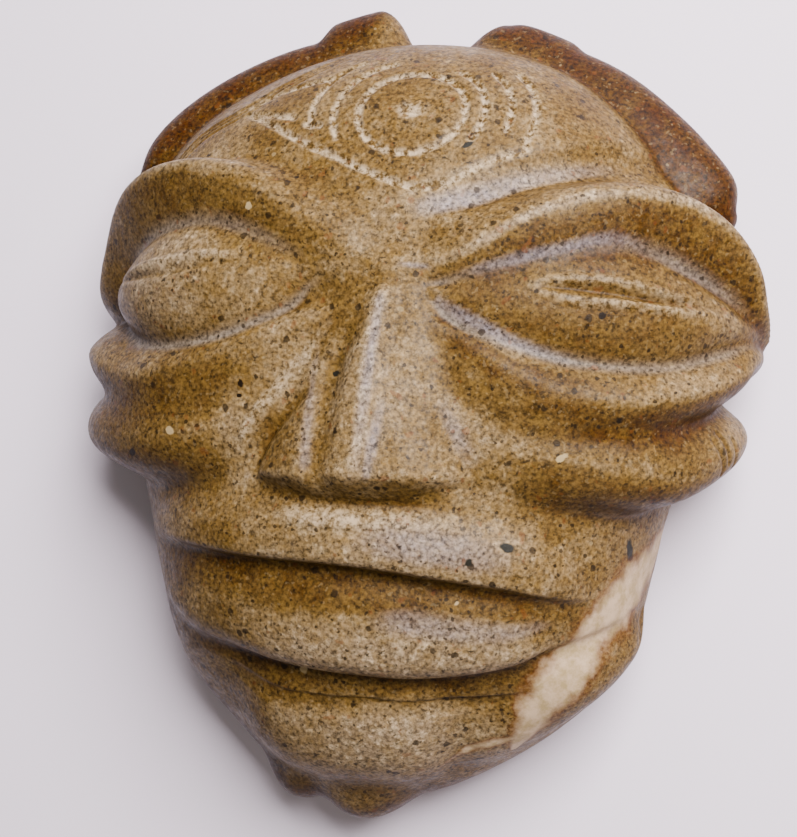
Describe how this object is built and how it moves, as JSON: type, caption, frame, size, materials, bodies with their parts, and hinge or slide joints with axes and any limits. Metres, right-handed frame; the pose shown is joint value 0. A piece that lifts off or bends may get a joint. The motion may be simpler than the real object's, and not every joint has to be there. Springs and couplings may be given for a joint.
{
  "type": "stone maskette",
  "caption": "Hand-sized maskette carved from one block of polished speckled stone, with pod eyes, doubled cheek rolls, slab lips and an engraved forehead, on a flat back.",
  "frame": {"origin": "centre of the part's bounding box, on the flat back that it rests on (z = 0)", "axes": "+Z straight out of the face, away from the flat back; +Y towards the forehead; +X to the right for a viewer who faces the mask"},
  "size_m": [0.185, 0.22, 0.075],
  "materials": {
    "stone": "polished"
  },
  "bodies": {
    "root": {"maskette": "stone"}
  },
  "joints": []
}
